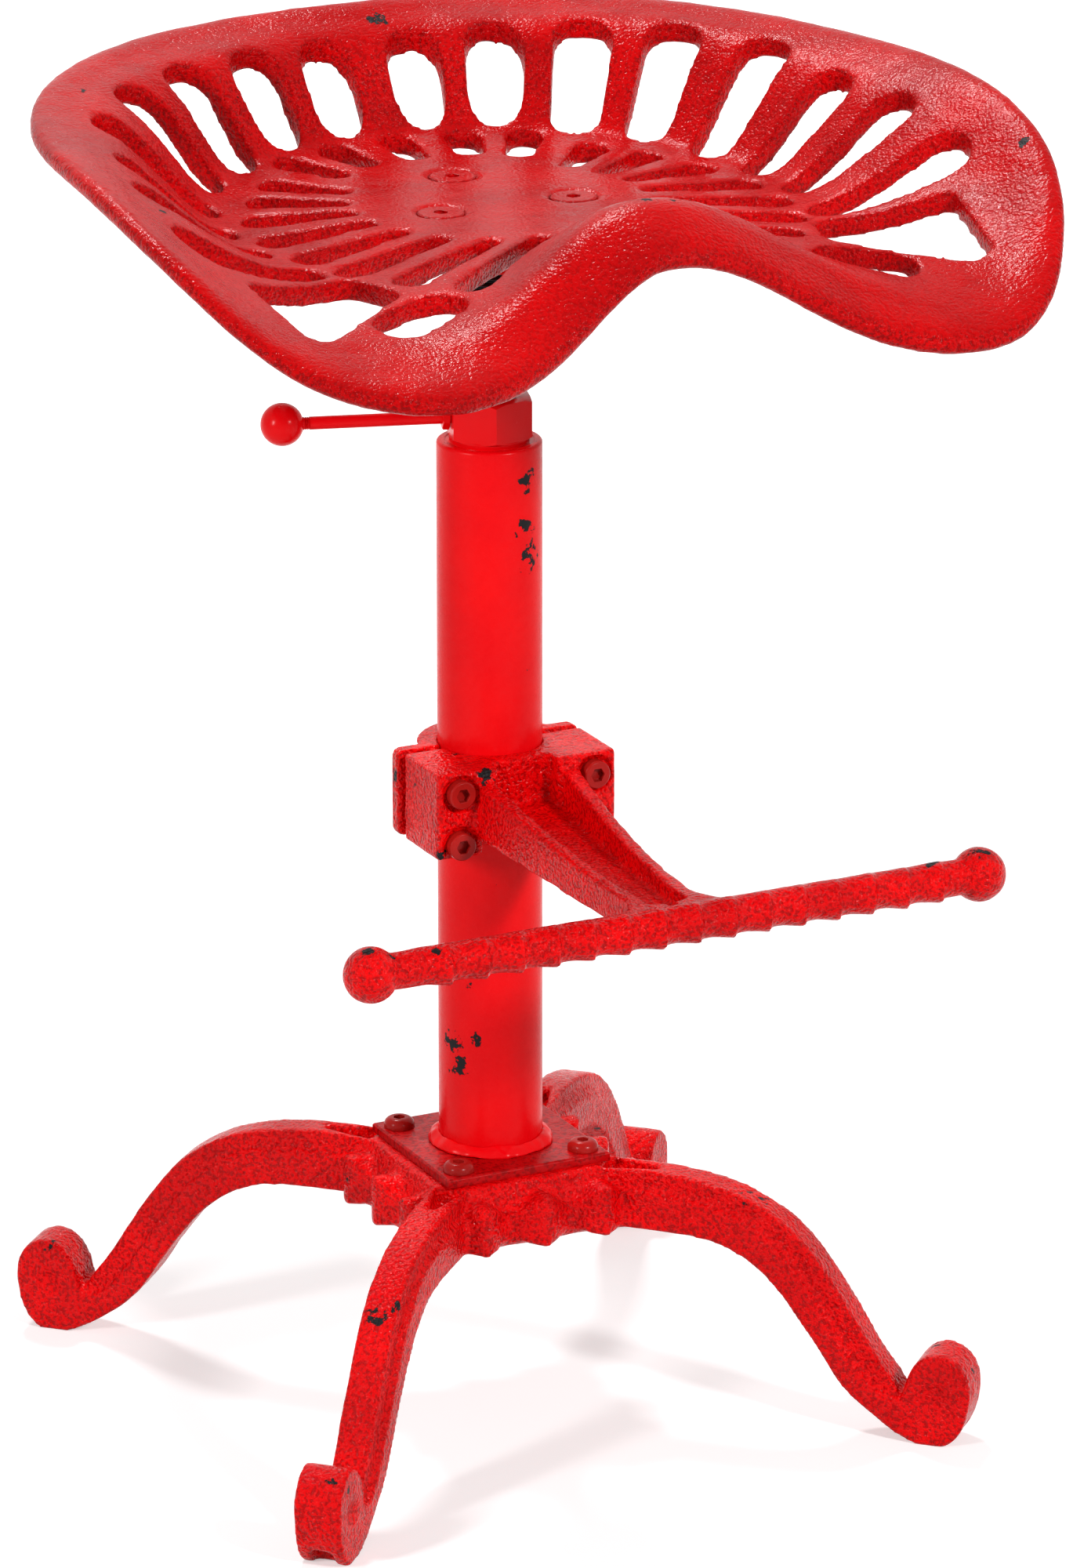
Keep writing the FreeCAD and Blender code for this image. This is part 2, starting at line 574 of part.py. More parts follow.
def make_pan():
    """Pan skinned in sectors: each has a top and an underside that meet along the rim."""
    stations = 28
    extra = 2
    grid = []
    for k in range(-extra, stations + extra + 1):
        grid.append(pan_contour(wrapped(SEAM_ANGLE + 360.0 * k / stations)))
    surface = Part.BSplineSurface()
    surface.interpolate(grid)
    rim_index = len(grid[0]) // 2
    across = surface.getVKnots()
    around = surface.getUKnots()
    cuts = [around[extra + k] for k in range(0, stations + 1, stations // 4)]
    patches = []
    for i in range(4):
        for v0, v1 in ((across[0], across[rim_index]), (across[rim_index], across[-1])):
            patch = surface.copy()
            patch.segment(cuts[i], cuts[i + 1], v0, v1)
            patches.append(patch.toShape())
    sheet = Part.makeCompound(patches)
    sheet.sewShape(0.01)
    rings = {True: [], False: []}
    for e in sheet.Shells[0].getFreeEdges().Edges:
        rings[e.BoundBox.ZMin > PAD_MID].append(e)
    discs = [Part.Face(Part.Wire(Part.__sortEdges__(ring))) for ring in rings.values()]
    skin = Part.makeCompound(sheet.Faces + discs)
    skin.sewShape(0.01)
    pan = Part.makeSolid(skin.Shells[0])
    if pan.Volume < 0:
        pan.reverse()
    return pan


pan = make_pan()
cutters = []
for side in (-1, 1):
    for inner, outer, wi, wo in OUTER_SLOTS:
        cutters.append(slot_cutter(inner, outer, wi, wo, side))
    for inner, outer, wi, wo in INNER_SLOTS:
        cutters.append(slot_cutter(inner, outer, wi, wo, side))
    # three-cornered slot and oval hole of the front lobe
    lobe = rounded_outline([V(side * 114, -94, 480), V(side * 172, -118, 480), V(side * 164, -176, 480),
                            V(side * 103, -127, 480)], [8, 5, 8, 8])
    cutters.append(Part.Face(lobe).extrude(V(0, 0, 200)))
    cutters.append(slot_cutter((86, -146), (129, -165), 26, 27, side))
cutters.append(slot_cutter((0, 72), (0, 104), 12, 17, 1))
for i in range(3):
    a = math.radians(90 + 120 * i)
    spot = V(SEAT_BOLT_CIRCLE_R * math.cos(a), SEAT_BOLT_CIRCLE_R * math.sin(a), 480)
    cutters.append(Part.makeCylinder(SEAT_BOLT_R + BOLT_GAP, 200, spot))
    cutters.append(Part.makeCylinder(
        SEAT_BOLT_HEAD_R + 0.5, 20, spot + V(0, 0, PAD_TOP - SEAT_BOLT_HEAD_THICK - 480)))
pan = pan.cut(cutters)
save(pan, "seat_casting")

flange = Part.makeCylinder(FLANGE_R, FLANGE_THICK, V(0, 0, FLANGE_BOTTOM))
flange = flange.makeChamfer(0.8, [e for e in flange.Edges if e.BoundBox.ZMax < FLANGE_BOTTOM + 0.01])
flange = flange.cut(Part.makeCylinder(SPINDLE_R, 3.0, V(0, 0, FLANGE_BOTTOM)))
seat_bolts = []
seat_nuts = []
for i in range(3):
    a = math.radians(90 + 120 * i)
    spot = V(SEAT_BOLT_CIRCLE_R * math.cos(a), SEAT_BOLT_CIRCLE_R * math.sin(a), 0)
    flange = flange.cut(Part.makeCylinder(SEAT_BOLT_R + BOLT_GAP, 40, spot + V(0, 0, FLANGE_BOTTOM - 10)))
    top = spot + V(0, 0, PAD_TOP - SEAT_BOLT_HEAD_THICK)
    seat_bolts.append(socket_screw(
        SEAT_BOLT_HEAD_R, SEAT_BOLT_HEAD_THICK - 0.3, SEAT_BOLT_R, 24, 6.0, top, UP))
    nut = chamfered_nut(16, 7.5, spot + V(0, 0, FLANGE_BOTTOM - 7.5), UP, 20 * i, 1.0)
    seat_nuts.append(nut.cut(Part.makeCylinder(SEAT_BOLT_R, 20, spot + V(0, 0, FLANGE_BOTTOM - 15))))
save(flange, "seat_flange")
save(Part.makeCompound(seat_bolts), "seat_bolts")
save(Part.makeCompound(seat_nuts), "seat_bolt_nuts")

hub_nut = chamfered_nut(HUB_NUT_AF, HUB_NUT_HEIGHT, V(0, 0, HUB_NUT_BOTTOM), UP, 10, 2.2)
hub_nut = hub_nut.cut(Part.makeCylinder(SPINDLE_R, 40, V(0, 0, HUB_NUT_BOTTOM - 10)))
save(hub_nut, "seat_hub_nut")

# Footrest: clamp block, two arms and the twisted bar in one casting.

bore = Part.makeCylinder(TUBE_R + RUN_GAP, 80, V(0, 0, CLAMP_BOTTOM - 20))


def make_footrest():
    height = CLAMP_TOP - CLAMP_BOTTOM
    block = Part.makeBox(2 * CLAMP_HALF_WIDTH, CLAMP_FRONT + BLOCK_BACK, height,
                         V(-CLAMP_HALF_WIDTH, -CLAMP_FRONT, CLAMP_BOTTOM))
    block = block.makeFillet(2.5, [e for e in block.Edges if e.BoundBox.YMax < -CLAMP_FRONT + 0.01])
    # recessed middle between the screw bosses, open at the bottom
    notch = Part.makeBox(46, 30, 12, V(-23, -CLAMP_FRONT - 1, CLAMP_BOTTOM - 1))
    notch = notch.makeFillet(6, [e for e in notch.Edges
                                 if e.BoundBox.ZMin > CLAMP_BOTTOM + 10.9 and e.BoundBox.YLength > 20])
    block = block.cut(notch)
    hollow = Part.makeBox(30, 12, 40, V(-15, -CLAMP_FRONT - 2, CLAMP_TOP - 22))
    hollow = hollow.makeFillet(5, [e for e in hollow.Edges if e.BoundBox.YMin > -CLAMP_FRONT + 9.9])
    block = block.cut(hollow)
    sleeve = Part.makeCylinder(TUBE_R + 8, height, V(0, 0, CLAMP_BOTTOM))
    sleeve = sleeve.common(Part.makeBox(100, 60, 100, V(-50, -60 + BLOCK_BACK, CLAMP_BOTTOM - 10)))
    block = block.fuse(sleeve)
    arms = []
    arm_start = -CLAMP_FRONT + 4
    arm_run = BAR_Y + 2 - arm_start
    for side in (-1, 1):
        sections = []
        for f, x, low, high, half in ARM_STATIONS:
            y = arm_start + f * arm_run
            cx = side * x
            sections.append(Part.makePolygon([
                V(cx - half, y, low), V(cx + half, y, low), V(cx + half * 0.75, y, high),
                V(cx - half * 0.75, y, high), V(cx - half, y, low)]))
        arms.append(Part.makeLoft(sections, True))
        # the arm spreads out along the bar
        inner = ARM_STATIONS[-1][1]
        flare = Part.Face(Part.Wire([
            Part.Arc(V(side * (inner + 3), BAR_Y + 34, 0), V(side * (inner + 6.5), BAR_Y + 14, 0),
                     V(side * FLARE_HALF, BAR_Y + 5, 0)).toShape(),
            Part.makePolygon([V(side * FLARE_HALF, BAR_Y + 5, 0), V(side * FLARE_HALF, BAR_Y, 0),
                              V(side * 2, BAR_Y, 0), V(side * 2, BAR_Y + 10, 0),
                              V(side * (inner - 3), BAR_Y + 12, 0), V(side * (inner - 3), BAR_Y + 34, 0),
                              V(side * (inner + 3), BAR_Y + 34, 0)])])).extrude(V(0, 0, 13.5))
        flare.translate(V(0, 0, BAR_Z - 6.5))
        arms.append(flare)
    web_sections = []
    for f, x, low in ((0.0, 22.0, 288.5), (0.5, 16.0, 282.5), (1.0, 12.5, 281.5)):
        y = arm_start + f * arm_run
        web_sections.append(Part.makePolygon([
            V(-x, y, low), V(x, y, low), V(x, y, low + 6), V(-x, y, low + 6), V(-x, y, low)]))
    web = Part.makeLoft(web_sections, True)
    bar = Part.makeCylinder(BAR_R, 2 * BAR_HALF, V(-BAR_HALF, BAR_Y, BAR_Z), V(1, 0, 0))
    twists = []
    pitch = 2 * (BAR_HALF - 20) / BAR_TWISTS
    for i in range(BAR_TWISTS):
        x = -BAR_HALF + 20 + pitch * (i + 0.5)
        cone = Part.makeCone(BAR_R - 0.4, BAR_R + 1.3, pitch * 0.98, V(-pitch * 0.49, 0, 0), V(1, 0, 0))
        cone.rotate(V(0, 0, 0), UP, -14)
        cone.translate(V(x, BAR_Y, BAR_Z))
        twists.append(cone)
    balls = []
    for side in (-1, 1):
        balls.append(Part.makeSphere(BALL_R, V(side * BAR_HALF, BAR_Y, BAR_Z)))
    whole = block.multiFuse(arms + [web, bar] + twists + balls)
    whole = whole.cut(bore)
    for sx in (-1, 1):
        for z in CLAMP_SCREW_Z:
            axis_point = V(sx * CLAMP_SCREW_X, -CLAMP_FRONT - 5, z)
            whole = whole.cut(Part.makeCylinder(CLAMP_SCREW_R + BOLT_GAP, 60, axis_point, V(0, 1, 0)))
            whole = whole.cut(Part.makeCylinder(8.6, 7.5, axis_point, V(0, 1, 0)))
    return whole


footrest = make_footrest()
save(footrest, "footrest_casting")

# Rear half of the clamp: a plate bent round the back of the tube.
OUT_R = TUBE_R + STRAP_THICK
strap = Part.makeBox(2 * STRAP_HALF_WIDTH, STRAP_THICK, CLAMP_TOP - CLAMP_BOTTOM,
                     V(-STRAP_HALF_WIDTH, STRAP_FRONT, CLAMP_BOTTOM))
strap = strap.makeFillet(3.0, [e for e in strap.Edges
                               if e.BoundBox.ZLength < 0.01 and e.BoundBox.XLength < 0.01])
hoop = Part.makeCylinder(OUT_R, CLAMP_TOP - CLAMP_BOTTOM, V(0, 0, CLAMP_BOTTOM))
hoop = hoop.common(Part.makeBox(100, 60, 100, V(-50, STRAP_FRONT, CLAMP_BOTTOM - 10)))
rim_top = Part.makeCylinder(OUT_R + 2.5, 4, V(0, 0, CLAMP_TOP - 4)).common(
    Part.makeBox(100, 60, 100, V(-50, STRAP_FRONT, CLAMP_BOTTOM - 10)))
strap = fused([strap, hoop, rim_top]).cut(bore)
clamp_screws = []
clamp_washers = []
clamp_nuts = []
BACK = STRAP_FRONT + STRAP_THICK
for sx in (-1, 1):
    for z in CLAMP_SCREW_Z:
        x = sx * CLAMP_SCREW_X
        strap = strap.cut(Part.makeCylinder(CLAMP_SCREW_R + BOLT_GAP, 60, V(x, -20, z), V(0, 1, 0)))
        strap = strap.cut(Part.makeCylinder(8.6, 60, V(x, BACK, z), V(0, 1, 0)))
        clamp_screws.append(socket_screw(6.5, 5.5, CLAMP_SCREW_R, 54.0, 6.0,
                                         V(x, -CLAMP_FRONT + 2.5, z), V(0, -1, 0)))
        washer = Part.makeCylinder(8.0, 1.6, V(x, BACK, z), V(0, 1, 0))
        clamp_washers.append(washer.cut(Part.makeCylinder(
            CLAMP_SCREW_R + BOLT_GAP, 10, V(x, BACK - 4, z), V(0, 1, 0))))
        nut = chamfered_nut(13, 6.5, V(x, BACK + 1.6, z), V(0, 1, 0), 12 * sx, 0.9)
        clamp_nuts.append(nut.cut(Part.makeCylinder(CLAMP_SCREW_R, 20, V(x, BACK - 4, z), V(0, 1, 0))))
save(strap, "footrest_clamp_plate")
save(Part.makeCompound(clamp_screws), "clamp_screws")
save(Part.makeCompound(clamp_washers), "clamp_washers")
save(Part.makeCompound(clamp_nuts), "clamp_nuts")
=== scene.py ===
"""Surfaces, camera and studio for the tractor seat stool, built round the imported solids."""
import json
import math

import bmesh
import bpy
from mathutils import Matrix, Vector, noise

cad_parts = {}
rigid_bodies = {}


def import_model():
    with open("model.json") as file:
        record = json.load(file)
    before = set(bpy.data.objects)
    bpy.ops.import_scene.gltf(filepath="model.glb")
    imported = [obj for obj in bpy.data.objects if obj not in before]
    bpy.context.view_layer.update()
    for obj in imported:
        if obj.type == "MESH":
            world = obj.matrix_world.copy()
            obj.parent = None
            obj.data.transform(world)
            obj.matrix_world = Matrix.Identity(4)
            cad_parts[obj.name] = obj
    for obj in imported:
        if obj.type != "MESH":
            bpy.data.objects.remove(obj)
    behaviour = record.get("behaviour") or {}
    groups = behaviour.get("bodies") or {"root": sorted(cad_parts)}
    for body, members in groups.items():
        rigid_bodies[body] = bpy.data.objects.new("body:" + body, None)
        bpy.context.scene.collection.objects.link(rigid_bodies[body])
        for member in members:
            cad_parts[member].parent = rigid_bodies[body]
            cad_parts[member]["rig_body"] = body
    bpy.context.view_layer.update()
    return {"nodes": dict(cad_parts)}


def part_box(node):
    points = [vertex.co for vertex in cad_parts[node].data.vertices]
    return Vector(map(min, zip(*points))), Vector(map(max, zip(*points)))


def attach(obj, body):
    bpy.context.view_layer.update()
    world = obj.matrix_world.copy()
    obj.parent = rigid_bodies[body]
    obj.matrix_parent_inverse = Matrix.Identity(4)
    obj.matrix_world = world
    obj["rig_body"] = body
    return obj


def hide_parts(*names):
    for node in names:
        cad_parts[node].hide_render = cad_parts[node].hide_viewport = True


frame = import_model()
nodes = frame["nodes"]
scene = bpy.context.scene

MM = 0.001
UP = Vector((0, 0, 1))
COLUMN_FOOT = Vector((0.0, 24.2 * MM, 0.0))
TUBE_WALL = 4.0 * MM
CREASE = math.radians(32.0)              # edges sharper than this stay sharp
LATHE_CREASE = math.radians(38.0)


# Camera

def make_camera():
    """The photograph's view: a little left of the front and above the seat, from far off."""
    data = bpy.data.cameras.new("camera")
    data.sensor_width = 36.0
    data.lens = 183.83
    data.clip_end = 50.0
    camera = bpy.data.objects.new("camera", data)
    camera.location = (-1.5176, -3.1125, 1.4649)
    camera.rotation_euler = (math.radians(71.44), 0.0, math.radians(-26.17))
    scene.collection.objects.link(camera)
    scene.camera = camera


# Materials

class Graph:
    """Short way to add and join the shader nodes of a new material."""

    def __init__(self, name):
        self.material = bpy.data.materials.new(name)
        self.material.use_nodes = True
        self.tree = self.material.node_tree
        self.shader = self.tree.nodes["Principled BSDF"]
        self.place = self.add("ShaderNodeTexCoord").outputs["Object"]

    def add(self, kind, **values):
        node = self.tree.nodes.new(kind)
        for key, value in values.items():
            setattr(node, key, value)
        return node

    def put(self, socket, value):
        """Links an output to the socket, or writes a constant on it."""
        if isinstance(value, bpy.types.NodeSocket):
            self.tree.links.new(value, socket)
        else:
            socket.default_value = value

    def noise(self, scale, detail=2.0, rough=0.5):
        node = self.add("ShaderNodeTexNoise")
        self.put(node.inputs["Vector"], self.place)
        self.put(node.inputs["Scale"], scale)
        self.put(node.inputs["Detail"], detail)
        self.put(node.inputs["Roughness"], rough)
        return node.outputs["Fac"]

    def math(self, kind, a, b=0.0):
        node = self.add("ShaderNodeMath", operation=kind)
        self.put(node.inputs[0], a)
        self.put(node.inputs[1], b)
        return node.outputs[0]

    def fit(self, value, low, high, to_low=0.0, to_high=1.0):
        node = self.add("ShaderNodeMapRange")
        for socket, v in zip(node.inputs, (value, low, high, to_low, to_high)):
            self.put(socket, v)
        return node.outputs[0]

    def mix(self, factor, a, b):
        node = self.add("ShaderNodeMix", data_type="RGBA")
        self.put(node.inputs[0], factor)
        self.put(node.inputs[6], a)
        self.put(node.inputs[7], b)
        return node.outputs[2]

    def bump(self, height, distance, under=None):
        node = self.add("ShaderNodeBump")
        self.put(node.inputs["Height"], height)
        self.put(node.inputs["Distance"], distance)
        self.put(node.inputs["Strength"], 1.0)
        if under is not None:
            self.put(node.inputs["Normal"], under)
        return node.outputs["Normal"]

    def finish(self, color, roughness, normal):
        self.put(self.shader.inputs["Base Color"], color)
        self.put(self.shader.inputs["Roughness"], roughness)
        self.put(self.shader.inputs["Normal"], normal)
        return self.material


def rgb(r, g, b):
    return (r, g, b, 1.0)


def dimmed(color, share):
    return rgb(*(c * share for c in color))


def chip_mask(g, chips):
    """1 where paint has flaked off: ragged islands round each (x, y, z, reach) spot."""
    ragged = g.noise(210.0, 5.0, 0.62)
    mask = None
    for x, y, z, reach in chips:
        away = g.add("ShaderNodeVectorMath", operation="DISTANCE")
        g.put(away.inputs[0], g.place)
        away.inputs[1].default_value = (x, y, z)
        level = g.fit(away.outputs["Value"], 0.0, reach * 1.25, 0.40, 0.72)
        here = g.fit(g.math("SUBTRACT", ragged, level), 0.0, 0.012)
        mask = here if mask is None else g.math("MAXIMUM", mask, here)
    return mask


def paint(name, colors, roughness, swell=0.6 * MM, grain=None, chips=(), shine=0.1):
    """Red paint over metal. colors is (fresh, deep), between which the tone drifts at random;
    swell is the depth of the slow waves in the skin. grain is (scale, depth, walls) for the
    pebbles of a sand casting, which are walls times stronger on upright faces than on level ones,
    and whose low spots get painted shade, darker towards deep."""
    fresh, deep = colors
    g = Graph(name)
    drift = g.fit(g.noise(30.0, 3.0), 0.35, 0.7)
    shade = g.mix(drift, rgb(*fresh), rgb(*deep))
    gloss = g.fit(g.noise(260.0, 4.0), 0.3, 0.7, roughness * 0.8, roughness * 1.25)
    skin = g.bump(g.noise(75.0), swell)
    if grain:
        scale, depth, walls = grain
        pebbles = g.noise(scale, 1.5)
        facing = g.add("ShaderNodeSeparateXYZ")
        g.put(facing.inputs[0], g.add("ShaderNodeTexCoord").outputs["Normal"])
        upright = g.fit(g.math("ABSOLUTE", facing.outputs[2]), 0.45, 0.9, 1.0, 1.0 / walls)
        skin = g.bump(g.math("MULTIPLY", pebbles, upright), depth, skin)
        # Painted shade: the low spots of the pebbles are painted darker, more on upright faces,
        # to stand in for the shade in their hollows.
        pit_shade = g.math("MULTIPLY", g.fit(pebbles, 0.52, 0.38), upright)
        shade = g.mix(g.math("MULTIPLY", pit_shade, 0.75), shade, dimmed(deep, 0.5))
    if chips:
        bare = chip_mask(g, chips)
        shade = g.mix(bare, shade, rgb(0.010, 0.009, 0.010))
        gloss = g.math("ADD", gloss, g.math("MULTIPLY", bare, 0.25))
        skin = g.bump(g.math("SUBTRACT", 1.0, bare), 0.3 * MM, skin)
    g.shader.inputs["Specular IOR Level"].default_value = shine
    return g.finish(shade, gloss, skin)


def metal(name, color, roughness, grain, depth):
    g = Graph(name)
    cloud = g.fit(g.noise(60.0, 4.0), 0.3, 0.7)
    gloss = g.fit(g.noise(300.0, 3.0), 0.3, 0.7, roughness * 0.8, roughness * 1.3)
    g.shader.inputs["Metallic"].default_value = 1.0
    return g.finish(g.mix(cloud, rgb(*color), dimmed(color, 0.7)), gloss,
                    g.bump(g.noise(grain), depth))


def plastic(name, color):
    g = Graph(name)
    cloud = g.fit(g.noise(50.0), 0.3, 0.7)
    gloss = g.fit(g.noise(400.0), 0.3, 0.7, 0.45, 0.6)
    return g.finish(g.mix(cloud, rgb(*color), dimmed(color, 0.9)), gloss,
                    g.bump(g.noise(900.0), 0.05 * MM))


# Spots where the paint has flaked off, as (x, y, z, reach) in metres.
TUBE_CHIPS = [
    (0.010, 0.002, 0.410, 0.0092), (0.008, 0.001, 0.424, 0.0078), (0.008, 0.001, 0.445, 0.0071),
    (-0.022, 0.014, 0.164, 0.0087), (-0.023, 0.016, 0.175, 0.0101),
    (-0.016, 0.006, 0.178, 0.0058), (-0.019, 0.009, 0.206, 0.0032)]
SEAT_CHIPS = [
    (0.012, 0.169, 0.623, 0.0095), (-0.161, 0.107, 0.620, 0.0049),
    (-0.189, -0.043, 0.603, 0.0047), (0.206, -0.095, 0.602, 0.0056),
    (0.000, -0.133, 0.608, 0.0061), (0.010, -0.136, 0.607, 0.0034),
    (-0.013, -0.135, 0.607, 0.0027)]
BASE_CHIPS = [
    (-0.110, -0.085, 0.091, 0.0078), (-0.102, -0.085, 0.096, 0.0057),
    (0.090, -0.069, 0.108, 0.0072), (-0.162, 0.170, 0.043, 0.0052),
    (0.156, -0.126, 0.044, 0.0051), (-0.158, -0.140, 0.043, 0.0049),
    (-0.151, -0.143, 0.037, 0.0035), (0.166, -0.141, 0.036, 0.0033),
    (-0.061, 0.055, 0.102, 0.0051), (0.098, 0.107, 0.080, 0.0053)]
FOOTREST_CHIPS = [
    (-0.151, -0.170, 0.300, 0.0061), (-0.142, -0.171, 0.296, 0.0034),
    (-0.121, -0.171, 0.296, 0.0041), (0.146, -0.170, 0.300, 0.0070),
    (0.152, -0.173, 0.299, 0.0049), (0.124, -0.168, 0.297, 0.0063),
    (0.128, -0.168, 0.297, 0.0035), (-0.021, -0.016, 0.314, 0.0064),
    (-0.023, 0.010, 0.317, 0.0036), (-0.044, -0.015, 0.279, 0.0043),
    (-0.045, 0.009, 0.306, 0.0025), (-0.046, 0.029, 0.304, 0.0043)]

# Paints as (fresh, deep).
SEAT_RED = ((0.60, 0.001, 0.002), (0.44, 0.001, 0.002))
LOW_RED = ((0.84, 0.001, 0.002), (0.64, 0.001, 0.002))
SMOOTH_RED = ((0.80, 0.002, 0.004), (0.72, 0.001, 0.004))
PLATE_RED = ((0.48, 0.0015, 0.003), (0.40, 0.001, 0.002))
SCREW_RED = ((0.42, 0.010, 0.008), (0.2, 0.006, 0.005))

MATERIALS = {
    "seat": paint("seat_paint", SEAT_RED, 0.19, grain=(620.0, 1.5 * MM, 3.2),
                  chips=SEAT_CHIPS, shine=0.055),
    "base": paint("base_paint", LOW_RED, 0.14, grain=(560.0, 1.9 * MM, 1.3),
                  chips=BASE_CHIPS, shine=0.08),
    "footrest": paint("footrest_paint", LOW_RED, 0.14, grain=(560.0, 1.7 * MM, 1.3),
                      chips=FOOTREST_CHIPS, shine=0.08),
    "tube": paint("tube_paint", SMOOTH_RED, 0.26, swell=0.1 * MM, chips=TUBE_CHIPS),
    "smooth": paint("smooth_paint", SMOOTH_RED, 0.22, swell=0.08 * MM),
    "plate": paint("plate_paint", PLATE_RED, 0.3, grain=(500.0, 0.2 * MM, 1.0)),
    "screw": paint("screw_paint", SCREW_RED, 0.22),
    "black": metal("black_thread", (0.035, 0.033, 0.035), 0.38, 900.0, 0.05 * MM),
    "zinc": metal("zinc_plate", (0.6, 0.6, 0.62), 0.32, 700.0, 0.03 * MM),
    "nylon": plastic("natural_nylon", (0.8, 0.79, 0.74)),
}


# Pieces

def link(name, mesh):
    piece = bpy.data.objects.new(name, mesh)
    scene.collection.objects.link(piece)
    return piece


def bake_modifiers(piece):
    """Puts the result of the piece's modifiers into its mesh."""
    shaped = piece.evaluated_get(bpy.context.evaluated_depsgraph_get())
    mesh = bpy.data.meshes.new_from_object(shaped)
    piece.modifiers.clear()
    piece.data = mesh


def settle(piece, node, material):
    """Paints the piece and lets it stand for the node, on the node's body."""
    piece.data.materials.clear()
    piece.data.materials.append(MATERIALS[material])
    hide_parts(node)
    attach(piece, nodes[node]["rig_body"])


def smooth_faces(shape, crease):
    for f in shape.faces:
        f.smooth = True
    for e in shape.edges:
        e.smooth = not (e.is_manifold and e.calc_face_angle(0.0) > crease)


def cast_skin(node, name, material, slot, voxel, rounds, lumps):
    """A sand-cast version of a node: its edges worn round over so many rounds of smoothing, and
    its faces uneven by lumps."""
    piece = link(name, nodes[node].data.copy())
    weld = piece.modifiers.new("weld", "WELD")
    weld.merge_threshold = 0.01 * MM
    remesh = piece.modifiers.new("remesh", "REMESH")
    remesh.mode = "VOXEL"
    remesh.voxel_size = voxel
    remesh.use_smooth_shade = True
    soften = piece.modifiers.new("soften", "SMOOTH")
    soften.factor = 0.5
    soften.iterations = rounds
    bake_modifiers(piece)
    # All places are worked out before the first is written, because a written vertex makes the
    # mesh work out every normal again.
    places = []
    for v in piece.data.vertices:
        drift = noise.noise(v.co * 70.0) + 0.5 * noise.noise(v.co * 190.0)
        places.extend(v.co + v.normal * (drift * lumps))
    piece.data.vertices.foreach_set("co", places)
    piece.data.update()
    settle(piece, node, material)


def machined(node, name, material):
    """A turned or stamped node with its facets merged, its edges broken and its faces smooth."""
    mesh = nodes[node].data.copy()
    shape = bmesh.new()
    shape.from_mesh(mesh)
    bmesh.ops.remove_doubles(shape, verts=shape.verts, dist=0.005 * MM)
    bmesh.ops.dissolve_limit(shape, angle_limit=math.radians(1.0), verts=shape.verts,
                             edges=shape.edges)
    smooth_faces(shape, CREASE)
    shape.to_mesh(mesh)
    shape.free()
    piece = link(name, mesh)
    edge = piece.modifiers.new("edge", "BEVEL")
    edge.width = 0.3 * MM
    edge.segments = 2
    edge.limit_method = "ANGLE"
    edge.angle_limit = CREASE
    edge.harden_normals = True
    bake_modifiers(piece)
    settle(piece, node, material)


def turned(node, name, profile, foot, material, steps=96):
    """The closed (radius, height above the foot) profile spun round the upright through foot."""
    shape = bmesh.new()
    place = Matrix.Translation(foot)
    rings = []
    for i in range(steps):
        a = 2 * math.pi * i / steps
        rings.append([shape.verts.new(place @ Vector((r * math.cos(a), r * math.sin(a), z)))
                      for r, z in profile])
    for i in range(steps):
        here = rings[i]
        there = rings[(i + 1) % steps]
        for k in range(len(profile)):
            after = (k + 1) % len(profile)
            shape.faces.new((here[k], there[k], there[after], here[after]))
    bmesh.ops.remove_doubles(shape, verts=shape.verts, dist=0.002 * MM)
    bmesh.ops.recalc_face_normals(shape, faces=shape.faces)
    smooth_faces(shape, LATHE_CREASE)
    mesh = bpy.data.meshes.new(name)
    shape.to_mesh(mesh)
    shape.free()
    settle(link(name, mesh), node, material)


def make_column():
    """The column tube, with a rounded mouth and a clean bore."""
    low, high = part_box("column_tube")
    outer = (high.x - low.x) / 2
    bore = outer - TUBE_WALL
    top = high.z - low.z
    mouth = [(outer - inward * MM, top - below * MM)
             for inward, below in ((0.0, 1.6), (0.12, 0.9), (0.5, 0.4), (1.0, 0.1), (1.6, 0.0))]
    profile = [(bore, 0), (outer, 0), *mouth, (bore + 0.5 * MM, top), (bore, top - 0.5 * MM)]
    turned("column_tube", "column", profile, COLUMN_FOOT + UP * low.z, "tube")


make_camera()

# Castings as (node, piece, material, slot, voxel, rounds, lumps).
for casting in (
        ("seat_casting", "seat_pan", "seat", "cast_red", 1.6 * MM, 8, 0.22 * MM),
        ("base_casting", "base_legs", "base", "cast_red", 1.4 * MM, 7, 0.3 * MM),
        ("footrest_casting", "footrest_bar", "footrest", "cast_red", 1.1 * MM, 6, 0.25 * MM),
        ("footrest_clamp_plate", "clamp_back", "footrest", "cast_red", 1.0 * MM, 6, 0.15 * MM),
        ("column_weld", "weld_bead", "smooth", "sheet_red", 0.6 * MM, 5, 1.1 * MM)):
    cast_skin(*casting)

make_column()

# Machined pieces as (node, material, slot).
for node, material, slot in (
        ("base_plate", "plate", "sheet_red"), ("base_screws", "screw", "screw_red"),
        ("base_washers", "zinc", "zinc"), ("base_nuts", "zinc", "zinc"),
        ("collar_nut", "smooth", "tube_red"), ("lever_rod", "smooth", "tube_red"),
        ("lever_jam_nut", "smooth", "tube_red"), ("lever_knob", "smooth", "knob_red"),
        ("spindle_guide", "nylon", "nylon"), ("spindle", "black", "black_thread"),
        ("guide_bush", "zinc", "zinc"), ("guide_washer", "zinc", "zinc"),
        ("guide_screw", "zinc", "zinc"), ("seat_hub_nut", "footrest", "cast_red"),
        ("seat_flange", "footrest", "cast_red"), ("seat_bolts", "seat", "cast_red"),
        ("seat_bolt_nuts", "zinc", "zinc"), ("clamp_screws", "screw", "screw_red"),
        ("clamp_washers", "zinc", "zinc"), ("clamp_nuts", "zinc", "zinc")):
    machined(node, node + "_finish", material)


# Studio

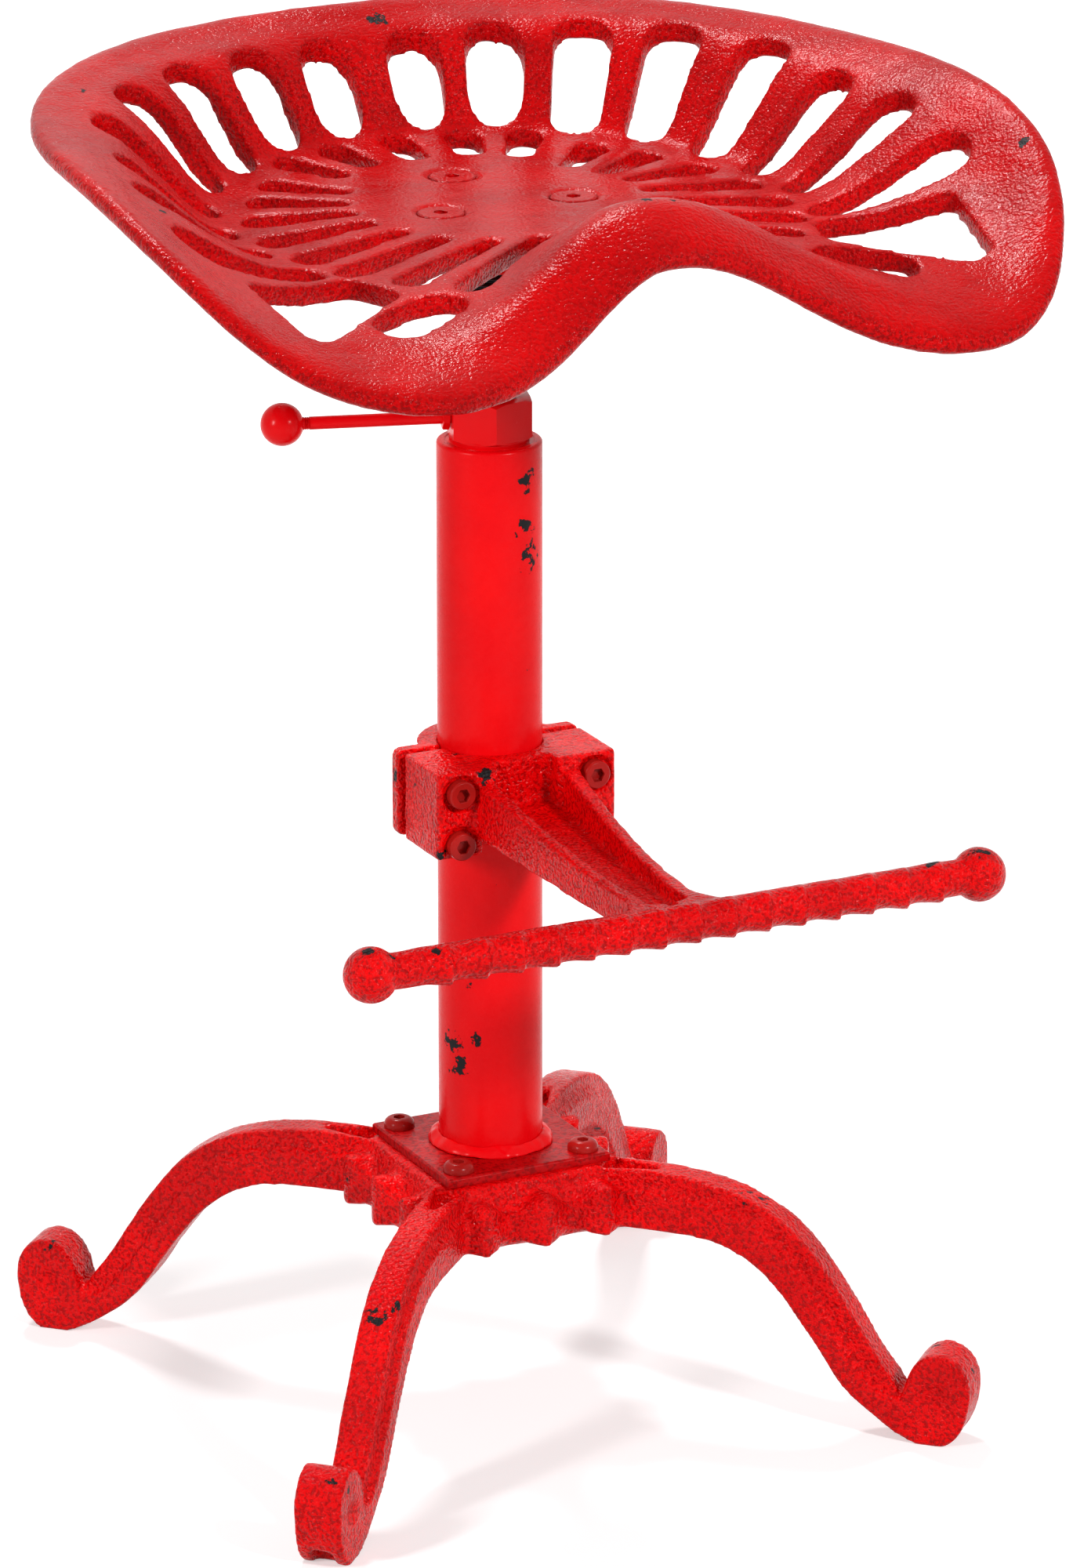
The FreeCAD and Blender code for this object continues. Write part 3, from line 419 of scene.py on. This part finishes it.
def any_of(tree, sockets):
    """The largest of the outputs, so 1 where one of these yes-or-no outputs is 1."""
    found = sockets[0]
    for socket in sockets[1:]:
        either = tree.nodes.new("ShaderNodeMath")
        either.operation = "MAXIMUM"
        tree.links.new(found, either.inputs[0])
        tree.links.new(socket, either.inputs[1])
        found = either.outputs[0]
    return found


def seen_directly(tree):
    """1 for the rays that meet the white background: camera, glossy and transmission rays."""
    path = tree.nodes.new("ShaderNodeLightPath")
    return any_of(tree, [path.outputs["Is Camera Ray"], path.outputs["Is Glossy Ray"],
                         path.outputs["Is Transmission Ray"]])


def make_floor():
    """A floor that keeps the stool's shadow and pales to white with distance."""
    bpy.ops.mesh.primitive_plane_add(size=14.0, location=(0, 0, 0))
    floor = bpy.context.object
    floor.name = "floor"
    g = Graph("floor_white")
    g.shader.inputs["Base Color"].default_value = rgb(0.68, 0.68, 0.68)
    g.shader.inputs["Roughness"].default_value = 0.9
    g.shader.inputs["Specular IOR Level"].default_value = 0.1
    away = g.add("ShaderNodeVectorMath", operation="LENGTH")
    g.put(away.inputs[0], g.place)
    pale = g.fit(away.outputs["Value"], 0.5, 2.6, 0.45, 0.95)
    glow = g.add("ShaderNodeEmission")
    g.put(glow.inputs["Strength"], g.math("MULTIPLY", seen_directly(g.tree), pale))
    both = g.add("ShaderNodeAddShader")
    g.put(both.inputs[0], g.shader.outputs[0])
    g.put(both.inputs[1], glow.outputs[0])
    out = next(n for n in g.tree.nodes if n.type == "OUTPUT_MATERIAL")
    g.put(out.inputs["Surface"], both.outputs[0])
    floor.data.materials.append(g.material)


def make_world():
    """White where it is seen, reflected or seen through, and a low even light elsewhere."""
    world = bpy.data.worlds.new("studio")
    scene.world = world
    world.use_nodes = True
    tree = world.node_tree
    tree.nodes.clear()
    out = tree.nodes.new("ShaderNodeOutputWorld")
    back = tree.nodes.new("ShaderNodeBackground")
    back.inputs["Color"].default_value = rgb(1.0, 1.0, 1.0)
    strength = tree.nodes.new("ShaderNodeMapRange")
    strength.inputs["To Min"].default_value = 0.24
    strength.inputs["To Max"].default_value = 1.0
    tree.links.new(seen_directly(tree), strength.inputs["Value"])
    tree.links.new(strength.outputs[0], back.inputs["Strength"])
    tree.links.new(back.outputs[0], out.inputs[0])


def lamp(name, place, aim, size, power):
    data = bpy.data.lights.new(name, "AREA")
    data.shape = "RECTANGLE"
    data.size, data.size_y = size
    data.energy = power
    light = bpy.data.objects.new(name, data)
    light.location = place
    light.rotation_euler = (Vector(aim) - Vector(place)).to_track_quat("-Z", "Y").to_euler()
    scene.collection.objects.link(light)


make_floor()
make_world()
lamp("key", (0.9, -2.6, 1.9), (0, 0, 0.3), (0.35, 0.45), 68)
lamp("side", (-2.4, -0.6, 1.3), (0, 0, 0.3), (0.25, 0.6), 34)
lamp("top", (0.3, 1.5, 2.5), (0, 0, 0.4), (0.5, 0.3), 38)
scene.view_settings.view_transform = "Standard"
